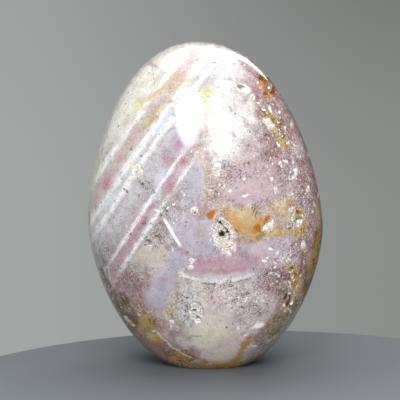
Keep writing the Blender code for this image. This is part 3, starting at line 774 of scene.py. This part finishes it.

# the straight white needle, the thin pale and dark lines of healed cracks, and one painted highlight along
# a ridge low on the right
needle_middle = skin_over(-0.0107, 0.04965) * 1000
needle_along = Vector((0.516, 0.0, -0.857))
NEEDLE_HALF_LENGTH, NEEDLE_HALF_WIDTH = 5.0, 0.5
from_middle = place.vector("SUBTRACT", needle_middle)
down_needle = abs(from_middle.vector("DOT_PRODUCT", needle_along)) * (1 / NEEDLE_HALF_LENGTH)
off_needle = abs(from_middle.vector("DOT_PRODUCT", needle_along.cross((0, 1, 0)))) * (1 / NEEDLE_HALF_WIDTH)
on_face = place.vector("DOT_PRODUCT", (0, 1, 0)).rise(-10.0, -16.0)
colour = colour.mix((0.76, 0.73, 0.71), off_needle.most(down_needle).rise(1.2, 0.85) * on_face)
colour = laid_over(colour, close, [
    (WHITE, 0.75, 0.6, *stroke([(-15.9, 14.6), (-14.4, 12.2), (-12.6, 10.9), (-11.4, 8.9)], 0.46),
     *stroke([(-11.4, 8.9), (-8.8, 7.7), (-7.4, 6.1), (-4.2, 4.9)], 0.26),
     # a painted highlight along a ridge low on the right
     *stroke([(20.9, 9.6), (22.6, 10.8), (24.4, 12.2)], 0.3),
     *stroke([(26.4, 40), (26, 41.6), (26.6, 42.8)], 0.2)),
    (GREY, 0.55, 0.8, *stroke([(-17.6, 102), (-17, 99), (-16.8, 96)], 0.14),
     *stroke([(12.7, 43.8), (14, 42.1), (15.3, 41.9)], 0.16),
     *stroke([(-26.9, 33.8), (-27.4, 32.2), (-26, 31)], 0.2),
     *stroke([(-23.6, 35.2), (-21.8, 35.8)], 0.18),
     *stroke([(-9.7, 18.8), (-9, 17.8), (-7.6, 17.4), (-6.3, 18.4)], 0.18),
     *stroke([(-5.9, 12.8), (-4.6, 14), (-2.4, 13.6)], 0.28),
     *stroke([(-30.6, 88), (-32.4, 82.4), (-34.2, 76), (-35.3, 71)], 0.16),
     *stroke([(-8, 84.2), (-6.4, 85), (-4.4, 83.8)], 0.3), *stroke([(-10.8, 87), (-9.2, 87.2)], 0.5),
     *stroke([(-12, 82.2), (-9.6, 82.9)], 0.3), *stroke([(6.6, 82.3), (8.2, 81.2), (9.8, 80.2)], 0.26),
     *stroke([(2.6, 86), (4.2, 88.6), (5.6, 91.4)], 0.22)),
])

# the larger glints, each where it sits: white quartz with painted highlights where facets and edges caught
# the light; then pale crusts and dark specks, and the deepest rust
colour = laid_over(colour, close, [
    ((0.90, 0.88, 0.85), 0.95, 0.85, (21.6, 88.2, 0.35, 1.3, 18), (20, 84.9, 1.3, 0.7, -20),
     (21.7, 83, 1.1, 0.7, 30), (28.8, 82.7, 0.4, 0.8, 10), (34.9, 72.3, 0.8, 0.9),
     (24.6, 71, 0.6, 0.3, 30), (26.4, 71.4, 0.8, 0.3, -30), (25.1, 70.1, 0.35, 0.4),
     (21.4, 66.5, 0.5, 0.5), (29.8, 68.2, 0.35, 1.1, -8), (29.1, 66.2, 0.35, 0.8, -30),
     (22.8, 62.6, 0.35, 0.9), (34, 61.8, 0.4, 1, -10), (33, 60.6, 0.4, 0.3), (12.9, 61.4, 1, 0.25, 10),
     (4.4, 65, 0.3, 0.4), (6.2, 64.4, 0.3, 0.4), (7.9, 63.2, 0.45, 0.35, 30), (12.4, 66.7, 0.3, 0.6),
     (17.4, 97, 0.4, 0.25), (38.2, 58.8, 0.4, 0.8), (36.4, 56.3, 0.25, 0.5)),
    ((0.90, 0.88, 0.85), 0.95, 0.85, (21.2, 43.8, 0.7, 0.5), (23.3, 42.4, 0.6, 0.5, 20),
     (19.2, 39.9, 0.8, 0.3), (22.7, 37.4, 0.5, 0.5), (23.9, 34.2, 0.35, 0.5), (23.5, 32.4, 0.25, 0.3),
     (27.8, 35, 0.4, 0.3), (28.9, 33, 0.3, 0.6), (28, 31.2, 0.35, 0.4), (30.6, 29.2, 0.3, 0.9, -30),
     (31.6, 33.2, 0.3, 0.4), (16.4, 9, 0.9, 0.3, -20), (11, 16.5, 0.4, 0.7), (13.4, 13.8, 0.5, 0.35),
     (8.3, 25.2, 0.25, 0.5, 20), (13.2, 27.2, 0.35, 0.25), (3.4, 29.8, 0.4, 0.2), (12, 29.5, 0.25, 0.2),
     (16.8, 29.5, 0.2, 0.25), (19, 26, 0.25, 0.5), (20, 27.8, 0.2, 0.3), (21.1, 26.4, 0.2, 0.2),
     (-4.3, 40.6, 0.8, 0.5), (-4.8, 38.4, 0.8, 0.45), (-4.6, 39.6, 0.3, 0.3), (-10.2, 43.8, 0.25, 0.25),
     (-26.6, 17.8, 0.7, 0.6), (-24.4, 15.8, 0.8, 0.5, -20), (-17.2, 14.7, 0.3, 0.3),
     (-11.3, 16.9, 0.2, 0.6), (28.6, 20.2, 0.3, 0.8, 20), (29.6, 26.6, 0.3, 0.8),
     (-15.6, 56.6, 0.8, 0.35, -30)),
    ((0.86, 0.90, 0.94), 0.9, 0.8, (16.2, 16.4, 1, 0.5, 30), (18.9, 17.6, 0.9, 0.45, -20),
     (17.2, 18, 0.5, 0.6), (21.5, 52.3, 0.3, 0.8, -24), (18.8, 50.3, 0.8, 0.25, 10),
     (20.8, 50, 0.3, 0.4)),
], GLINT_DEPTH)
colour = laid_over(colour, close, [
    ((0.70, 0.65, 0.55), 0.62, 0.7, (3.5, 68.6, 1.3, 0.7), (3.7, 71.4, 0.9, 0.8),
     (-23, 70.3, 2.2, 0.8, -10), (10.4, 96.3, 2.4, 0.5, -14), (13.8, 94.3, 1.4, 0.7),
     (13.4, 89.9, 0.8, 0.8), (-20.8, 68.3, 0.7, 1), (1.2, 63.3, 0.9, 0.4, -20)),
    (NEAR_BLACK, 0.62, 0.7, (1, 92.9, 0.6, 0.16), (-23.2, 68, 0.9, 0.4, 40), (-22, 66.9, 0.4, 0.3),
     (-20.5, 64.7, 0.5, 0.4), (15.8, 56.8, 0.3, 0.9, -20), (16.7, 55.8, 0.25, 0.9, -20),
     (27.4, 50, 0.5, 0.4), (19.9, 74.4, 0.3, 0.6), (20.1, 72.2, 0.35, 0.5), (19.6, 80.3, 0.5, 0.3),
     (-18.4, 46.8, 0.9, 0.35, -20), (-15.8, 48.4, 0.6, 0.35), (-12.4, 56.7, 0.5, 0.3),
     (-14.2, 55.3, 0.3, 0.5), (-1.2, 46.5, 0.25, 0.2), (-3, 46.7, 0.2, 0.2), (-6.3, 53.2, 0.4, 0.2),
     (5.6, 92.4, 0.3, 0.2), (-24.9, 12.9, 0.8, 0.8), (24.4, 13.6, 0.6, 0.3)),
    ((0.42, 0.18, 0.01), 0.75, 0.6, (1.9, 55.7, 1, 1.5, -36), (16.8, 51, 0.9, 1.1),
     (19.7, 53.6, 0.5, 1.2, -34)),
])

# the hollows: a broken rim of pale quartz, and painted shade where they go deep
reach = place.node("ShaderNodeAttribute", {"attribute_name": "hollow_reach"}, None, 2)
sunk = place.node("ShaderNodeAttribute", {"attribute_name": "hollow_depth"}, None, 2)
ragged = reach + (mottle - 0.5) * 1.6 + (patchy - 0.5) * 1.1
round_heart = marks_share(place, [(5.8, 47.6, 5.2, 6.2, 14)]).rise(1.1, 0.9)
colour = colour.mix((0.74, 0.66, 0.68), ragged.rise(1.30, 1.10) * (round_heart * 0.55 + 0.25))
colour = colour.mix((0.74, 0.69, 0.65), reach.rise(1.0, 0.94, 0.9))
# painted shade, darker the deeper the skin lies in a hollow
colour = colour.mix((0.20, 0.16, 0.12), sunk.rise(0.8, 2.6, 0.85) * mottle.rise(0.62, 0.42))
colour = laid_over(colour, close, [
    ((0.30, 0.09, 0.015), 0.85, 0.35, (21.6, 95, 1.3, 2.3, 30), (19, 98, 0.9, 0.8, 30),
     (20, 93.4, 0.8, 0.6)),
])

# clear chalcedony looks deeper in colour than its own grains, and as light as them on the whole
DEEPER, LIGHTER = 1.4, (1.19, 1.20, 1.19)
colour = colour.node("ShaderNodeGamma", None, {0: colour, 1: DEEPER}).mix(LIGHTER, 1.0, "MULTIPLY")

# polished skin over fine open grain. Only the polish is smooth: the hollows were never reached
open_grain = reach.rise(1.02, 0.96)
relief = (grain * 0.35 + mottle * 0.4) * (open_grain * 5 + druzy * 0.3 + 0.12)
bump = relief.node("ShaderNodeBump", None, {"Strength": 0.5, "Distance": 0.0003, "Height": relief})
feed(jasper_tree, jasper_shader, {
    "Base Color": colour, "Normal": bump, "Roughness": open_grain * 0.4 + grain * 0.14 + 0.12,
    "Coat Weight": 1.0 - open_grain * 0.95,
})
QUARTZ_IOR = 1.54
jasper_shader.inputs["IOR"].default_value = QUARTZ_IOR
jasper_shader.inputs["Specular IOR Level"].default_value = 0.2
jasper_shader.inputs["Coat Roughness"].default_value = 0.10

stone = make_skin()
stone.data.materials.append(jasper)
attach(stone, "root")
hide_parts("stone")

# The quartz in the hollows
# Once the jasper had set, clear to white quartz grew on the walls of each hollow as a crust of
# small points. It is one with the stone: the crust was never cut, so its points stay sharp.
CRUST_RINGS, CRUST_SEGMENTS = 14, 44
CORNERS = 6
LINING_ROUGH = 0.00012
DEEPEST_HOLLOW = 0.0046
LEAST_POINT = 0.00012
PAST_POLISH = 0.0001
chance = random.Random(11)


def add_point(bm, layers, root, direction, length, radius, sunk):
    """One six-sided quartz point. Its layers keep how near the tip and how deep it is."""
    twist = Matrix.Rotation(chance.uniform(0, math.pi), 3, "Z")
    turn = direction.to_track_quat("Z", "Y").to_matrix() @ twist
    shoulder = length * chance.uniform(0.55, 0.75)
    rings = []
    for high, wide in ((-0.25 * length, 1.0), (shoulder, chance.uniform(0.72, 0.95))):
        ring = []
        for i in range(CORNERS):
            angle = i * 2 * math.pi / CORNERS
            corner = Vector((math.cos(angle), math.sin(angle), 0)) * radius * wide
            vertex = bm.verts.new(root + turn @ (corner + Vector((0, 0, high))))
            vertex[layers[0]], vertex[layers[1]] = max(high / length, 0), sunk
            ring.append(vertex)
        rings.append(ring)
    off = Vector((chance.uniform(-0.3, 0.3), chance.uniform(-0.3, 0.3), 0)) * radius
    tip = bm.verts.new(root + turn @ (off + Vector((0, 0, length))))
    tip[layers[0]], tip[layers[1]] = 1.0, sunk
    for i in range(CORNERS):
        j = (i + 1) % CORNERS
        bm.faces.new((rings[0][i], rings[0][j], rings[1][j], rings[1][i]))
        bm.faces.new((rings[1][i], rings[1][j], tip))


def add_crust(bm, layers, hollow, count, shortest, longest, filled, holes=()):
    """A hollow's crust: a rough lining that fills part of it, with holes left open down to the
    floor, and points that grow out of the lining towards the opening."""
    outward = -hollow.inward

    def lining_points(shares, angles):
        floor = hollow.floor_points(shares, angles)
        left_open = np.ones(len(shares))
        for across, level, radius in holes:
            away = np.hypot(floor[:, 0] - across, floor[:, 2] - level) / radius
            left_open = np.minimum(left_open, np.clip((away - 0.55) / 0.8, 0, 1))
        sunk = hollow.bowl(shares) * hollow.deep
        lift = sunk * filled * left_open
        return floor + np.outer(lift, outward), (sunk - lift) / DEEPEST_HOLLOW

    shares = np.repeat(np.linspace(0.03, 0.99, CRUST_RINGS), CRUST_SEGMENTS)
    angles = np.tile(np.linspace(0, 2 * math.pi, CRUST_SEGMENTS, endpoint=False), CRUST_RINGS)
    lining, depths = lining_points(shares, angles)
    rough = np.array([chance.uniform(0.2, 2.6) for _ in shares]) * LINING_ROUGH
    lining = lining + np.outer(rough * hollow.bowl(shares), outward)
    verts = []
    for point, depth in zip(lining, depths):
        vertex = bm.verts.new(point)
        vertex[layers[0]], vertex[layers[1]] = chance.uniform(0.15, 0.75), depth
        verts.append(vertex)
    for ring in range(CRUST_RINGS - 1):
        for i in range(CRUST_SEGMENTS):
            a, b = ring * CRUST_SEGMENTS + i, ring * CRUST_SEGMENTS + (i + 1) % CRUST_SEGMENTS
            bm.faces.new((verts[a], verts[b], verts[b + CRUST_SEGMENTS], verts[a + CRUST_SEGMENTS]))
    bm.faces.new(verts[:CRUST_SEGMENTS])
    opening = Vector(hollow.floor_points(np.zeros(1), np.zeros(1))[0] + outward * hollow.deep * 0.9)
    shares = np.array([math.sqrt(chance.uniform(0.01, 1.0)) for _ in range(count)])
    angles = np.array([chance.uniform(0, 2 * math.pi) for _ in range(count)])
    roots, depths = lining_points(shares, angles)
    for root, depth in zip(roots, depths):
        root = Vector(root)
        stray = Vector([chance.gauss(0, 0.35) for _ in range(3)])
        direction = ((opening - root).normalized() + 0.6 * Vector(outward) + stray).normalized()
        length = chance.uniform(shortest, longest)
        rise = direction.dot(Vector(outward))
        # no point reaches more than a hair past the polished skin
        if rise > 0:
            length = min(length, (depth * DEEPEST_HOLLOW + PAST_POLISH) / rise)
        if length > LEAST_POINT:
            radius = length * chance.uniform(0.22, 0.40)
            add_point(bm, layers, root, direction, length, radius, depth)


def new_crust(name, parts):
    """A crust piece for one or more hollows, each with the details that add_crust takes."""
    bm = bmesh.new()
    layers = (bm.verts.layers.float.new("tip"), bm.verts.layers.float.new("sunk"))
    for details in parts:
        add_crust(bm, layers, *details)
    bmesh.ops.recalc_face_normals(bm, faces=bm.faces)
    crust = finish_mesh(name, bm, quartz)
    crust.data.shade_flat()
    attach(crust, "root")
    return crust


quartz, quartz_tree, quartz_shader, quartz_place = new_material("small quartz points")
tip = quartz_place.node("ShaderNodeAttribute", {"attribute_name": "tip"}, None, 2)
sunk = quartz_place.node("ShaderNodeAttribute", {"attribute_name": "sunk"}, None, 2)
stains = quartz_place.noise(0.6, 3.0)
points_colour = tip.node("ShaderNodeValToRGB", {
    "stops": [
        (0.0, (0.36, 0.30, 0.25)), (0.3, (0.60, 0.54, 0.49)),
        (0.7, (0.78, 0.74, 0.70)), (1.0, (0.90, 0.88, 0.85)),
    ],
}, {0: tip})
points_colour = points_colour.mix((0.66, 0.55, 0.42), stains.rise(0.56, 0.68, 0.5))
gaps = quartz_place.noise(1.1, 3.0, 0.6)
points_colour = points_colour.mix((0.28, 0.24, 0.20), gaps.rise(0.41, 0.34, 0.65))
points_colour = points_colour.mix((0.95, 0.93, 0.91), gaps.rise(0.48, 0.58, 0.7))
points_colour = laid_over(points_colour, quartz_place, [
    ((0.58, 0.50, 0.43), 0.7, 0.5, (3.9, 53.8, 1.9, 3.4, 26)),
    ((0.60, 0.54, 0.48), 0.40, 0.5, (6.4, 47.4, 3, 4.2, 14)),
    ((0.14, 0.13, 0.08), 0.85, 0.5, (-3.4, 56, 0.5, 0.6)),
    ((0.52, 0.48, 0.41), 0.6, 0.4, (-21.6, 66.4, 2.2, 2.2), (19.6, 51.6, 2, 2)),
    ((0.50, 0.20, 0.01), 0.92, 0.3, (30.8, 54.6, 1.5, 1.1)),
    ((0.16, 0.15, 0.06), 0.85, 0.35, (30.9, 52.2, 1.9, 1.3), (11.6, 95.7, 1.5, 0.7, -22)),
    ((0.22, 0.06, 0.02), 0.9, 0.3, (20.8, 95.3, 1.8, 2.2)),
    ((0.36, 0.22, 0.09), 0.75, 0.3, (27.2, 24.6, 2.8, 4.2, -14)),
    ((0.09, 0.06, 0.04), 0.9, 0.5, (26.6, 26.4, 0.7, 1.2, -14), (27.6, 23.8, 0.5, 1.6, -24),
     (28.4, 22, 0.4, 0.8)),
    ((0.42, 0.31, 0.18), 0.85, 0.3, (-25.6, 16.6, 2.2, 1.8)),
    ((0.95, 0.93, 0.92), 0.8, 0.4, (31, 51.8, 1.2, 0.7), (20.9, 52.4, 0.5, 1.3, -24),
     (19.4, 50.9, 1.1, 0.6, 10), (17.6, 16.9, 2, 1.2), (-2.6, 19.6, 1, 0.6), (-4.6, 38.4, 1, 1),
     (-4.6, 41, 1, 1), (21.2, 95, 0.5, 0.5), (28.9, 23.2, 0.4, 1.2, -10), (26.2, 23.2, 0.5, 0.6),
     (27.9, 27.4, 0.5, 0.4), (13, 94.7, 1.4, 0.6, -22)),
    ((0.22, 0.21, 0.19), 0.85, 0.5,
     *stroke([(3.5, 54), (4.6, 52.8), (5.6, 52), (6.8, 50.4), (7.7, 49), (7.6, 47.4)], 0.30)),
])
# painted shade on the crust, darker the deeper it lies in its hollow
points_colour = points_colour.mix((0.13, 0.11, 0.08), sunk.rise(0.32, 0.75, 0.88))
feed(quartz_tree, quartz_shader, {"Base Color": points_colour, "Roughness": stains * 0.3 + 0.08})
quartz_shader.inputs["IOR"].default_value = QUARTZ_IOR

# how many points each crust has, the shortest and longest, how full the lining makes the hollow,
# and the holes left in it: across, level, radius
LINED = {
    "heart": (240, 0.0003, 0.0010, 0.72, [
        (0.0051, 0.0490, 0.0010), (0.0069, 0.0500, 0.0005), (0.0047, 0.0527, 0.0004),
    ]),
    "right": (110, 0.0003, 0.0010, 0.70, [(0.0296, 0.0549, 0.0007)]),
    "lower_right": (150, 0.0003, 0.0010, 0.75, [
        (0.0266, 0.0264, 0.0007), (0.0275, 0.0240, 0.0007), (0.0285, 0.0222, 0.0005),
    ]),
    "lower_middle": (140, 0.0003, 0.0009, 0.80, [(-0.0034, 0.0243, 0.0006), (-0.0024, 0.0214, 0.0006)]),
    "back": (190, 0.0004, 0.0012, 0.45, [(-0.0090, 0.0638, 0.0018)]),
}
for place_name, details in LINED.items():
    crust = new_crust("quartz_" + place_name, [(lined_hollows[place_name], *details)])
    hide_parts("crust_" + place_name)
new_crust("quartz_small_pits", [
    *((hollow, 60, 0.0002, 0.0006, 0.85) for hollow in bare_hollows),
    *((hollow, 24, 0.0001, 0.0004, 0.9) for hollow in small_pits),
])

# The table top and the room
# A round grey table with a fine matt finish, which carries the stone on its foot, in a plain
# room that is lighter on the left.
TABLE_MIDDLE = Vector((0.0175, -0.076, 0.0))
TABLE_RADIUS = 0.121
TABLE_THICK = 0.02
bm = bmesh.new()
bmesh.ops.create_cone(
    bm, cap_ends=True, segments=256, radius1=TABLE_RADIUS, radius2=TABLE_RADIUS,
    depth=TABLE_THICK, matrix=Matrix.Translation(TABLE_MIDDLE - Vector((0, 0, TABLE_THICK / 2))),
)
matt_paint, matt_tree, matt_shader, table_place = new_material("matt grey paint")
flecks = table_place.noise(1.6, 3.0)
table_colour = flecks.node("ShaderNodeValToRGB", {
    "stops": [(0.35, (0.155, 0.170, 0.190)), (0.65, (0.170, 0.185, 0.205))],
}, {0: flecks})
# painted shade: the table's colour darkens towards its far side
painted_far_shade = table_place.vector("DOT_PRODUCT", (0, 1, 0)).rise(-150.0, 30.0, 0.55)
table_colour = table_colour.mix((0.045, 0.052, 0.056), painted_far_shade)
table_bump = flecks.node("ShaderNodeBump", None, {"Strength": 0.1, "Distance": 0.0002, "Height": flecks})
feed(matt_tree, matt_shader, {"Base Color": table_colour, "Normal": table_bump})
matt_shader.inputs["Roughness"].default_value = 0.6
table = finish_mesh("table", bm, matt_paint)
table.data.shade_flat()

room = bpy.data.worlds.new("room")
bpy.context.scene.world = room
room.use_nodes = True
backdrop = room.node_tree.nodes["Background"]
direction = Flow(room.node_tree).node("ShaderNodeTexCoord", output=0)
to_right = direction.node("ShaderNodeSeparateXYZ", None, {0: direction}, 0)
to_top = direction.node("ShaderNodeSeparateXYZ", None, {0: direction}, 2)
room_light = to_right.node("ShaderNodeValToRGB", {
    "stops": [(0.0, (0.365, 0.385, 0.380)), (1.0, (0.262, 0.272, 0.262))],
}, {0: to_right.rise(-0.16, 0.16)})
upper_right = to_top.rise(-0.16, 0.10) * (to_right.rise(-0.16, 0.16) * 0.5 + 0.12)
room_light = room_light.mix((0.100, 0.105, 0.098), upper_right)
# dark past the right side of the view and low on the left, where the polish shows a crisp edge
past_view = to_right.rise(0.20, 0.42).most(to_right.rise(-0.20, -0.42) * to_top.rise(-0.10, -0.35, 0.5))
room_light = room_light.mix((0.060, 0.060, 0.058), past_view)
feed(room.node_tree, backdrop, {"Color": room_light})
backdrop.inputs["Strength"].default_value = 1.0

# Studio lights
# Two large soft lights in front, with a narrow dark gap between them that the polish shows,
# one over the crown, a weak low one from the front, and a narrow strip behind on the right.
# Each stands on the side that its azimuth says, and faces the stone's upper middle.
LIGHT_AIM = Vector((0, 0, 0.07))


def soft_light(name, azimuth, elevation, distance, width, height, strength, lean=0):
    """A flat soft light, seen from the stone at an azimuth to the right of the camera's side.
    Azimuth, elevation and lean are in degrees."""
    turn, rise = math.radians(azimuth), math.radians(elevation)
    away = Vector((math.sin(turn) * math.cos(rise), -math.cos(turn) * math.cos(rise), math.sin(rise)))
    lamp = bpy.data.lights.new(name, "AREA")
    lamp.shape = "ELLIPSE"
    lamp.size, lamp.size_y = width, height
    lamp.energy = strength * width * height * math.pi
    holder = bpy.data.objects.new(name, lamp)
    holder.location = LIGHT_AIM + away * distance
    facing = (-away).to_track_quat("-Z", "Y") @ Quaternion((0, 0, 1), math.radians(lean))
    holder.rotation_euler = facing.to_euler()
    bpy.context.scene.collection.objects.link(holder)
    return holder


soft_light("front left", -13, 43, 1.2, 0.46, 0.62, 8.8, 6)
soft_light("front right", 17, 40, 1.2, 0.40, 0.62, 7.4, -12)
soft_light("overhead", -8, 100, 0.8, 1.1, 0.9, 2.3)
low_fill = soft_light("low fill", 3, 4, 1.6, 2.4, 1.0, 1.4)
# it lights the stone's face, but the polish doesn't mirror its shape
low_fill.visible_glossy = False
soft_light("back right", 150, 38, 0.9, 0.22, 0.6, 3)

# The camera
# As the photograph was taken: aimed at the stone's middle from a little above it, with a long
# lens, so that the edges of the table fall away only slightly.
CAMERA_RISE = math.radians(8)
CAMERA_DISTANCE = 0.5
CAMERA_AIM = Vector((-0.00177, 0.0, 0.0561))
SENSOR_WIDTH, LENS = 36.0, 131.5
camera = bpy.data.cameras.new("camera")
camera.sensor_width = SENSOR_WIDTH
camera.lens = LENS
camera_holder = bpy.data.objects.new("camera", camera)
look = Vector((0.0, math.cos(CAMERA_RISE), -math.sin(CAMERA_RISE)))
camera_holder.location = CAMERA_AIM - look * CAMERA_DISTANCE
camera_holder.rotation_euler = look.to_track_quat("-Z", "Y").to_euler()
bpy.context.scene.collection.objects.link(camera_holder)
bpy.context.scene.camera = camera_holder
bpy.context.scene.view_settings.view_transform = "Standard"
